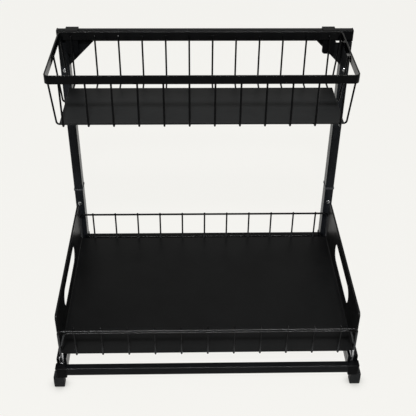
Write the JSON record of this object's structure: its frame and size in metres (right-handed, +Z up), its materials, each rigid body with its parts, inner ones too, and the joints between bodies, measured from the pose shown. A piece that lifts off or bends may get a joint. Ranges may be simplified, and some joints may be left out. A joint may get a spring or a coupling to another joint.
{
  "type": "pull-out cabinet organiser",
  "caption": "Black steel two-tier organiser: a drawer on ball-bearing slides below, and a wire basket hooked over the rear top bar.",
  "frame": {"origin": "on the floor under the middle of the overall box, at the level of the feet", "axes": "+X to the right seen from the open front, +Y to the back, +Z up; the drawer pulls out along -Y"},
  "size_m": [0.4198, 0.3041, 0.396],
  "materials": {
    "powder_coat_steel": "satin",
    "powder_coat_sheet": "satin",
    "moulded_black": "matte",
    "foot_rubber": "matte",
    "bright_zinc": "satin"
  },
  "bodies": {
    "frame": {"front_crossbar": "powder_coat_steel", "rear_crossbar": "powder_coat_steel", "side_rail_left": "powder_coat_steel", "side_rail_right": "powder_coat_steel", "block_front_left": "moulded_black", "block_front_right": "moulded_black", "block_rear_left": "moulded_black", "block_rear_right": "moulded_black", "foot_front_left": "foot_rubber", "foot_front_right": "foot_rubber", "foot_rear_left": "foot_rubber", "foot_rear_right": "foot_rubber", "lower_leg_left": "powder_coat_steel", "lower_leg_right": "powder_coat_steel", "leg_collar_left": "moulded_black", "leg_collar_right": "moulded_black", "upright_left": "powder_coat_steel", "upright_right": "powder_coat_steel", "top_corner_left": "moulded_black", "top_corner_right": "moulded_black", "top_crossbar": "powder_coat_steel", "bar_cap_left": "moulded_black", "bar_cap_right": "moulded_black", "upright_screws": "bright_zinc", "bar_screws": "bright_zinc", "slide_outer_left": "powder_coat_steel", "slide_outer_right": "powder_coat_steel", "slide_rivets": "bright_zinc"},
    "ball_cages": {"ball_cage_left": "bright_zinc", "ball_cage_right": "bright_zinc", "slide_balls": "bright_zinc"},
    "drawer": {"slide_inner_left": "bright_zinc", "slide_inner_right": "bright_zinc", "drawer_tray": "powder_coat_sheet", "front_fence": "powder_coat_steel", "back_fence": "powder_coat_steel"},
    "basket": {"basket_rim": "powder_coat_steel", "basket_u_wires": "powder_coat_steel", "basket_long_wires": "powder_coat_steel", "basket_plate": "powder_coat_sheet", "hook_left": "powder_coat_steel", "hook_right": "powder_coat_steel"}
  },
  "joints": [
    {"name": "drawer_slide", "type": "slide", "parent": "frame", "child": "drawer", "axis": [0, -1, 0], "range_m": [0, 0.165]},
    {"name": "ball_cage_slide", "type": "slide", "parent": "frame", "child": "ball_cages", "axis": [0, -1, 0], "range_m": [0, 0.0825]},
    {"name": "basket_lift", "type": "slide", "parent": "frame", "child": "basket", "axis": [0, 0, 1], "range_m": [0, 0.08]}
  ],
  "couplings": [
    {"joint": "ball_cage_slide", "follows": "drawer_slide", "ratio": 0.5}
  ]
}
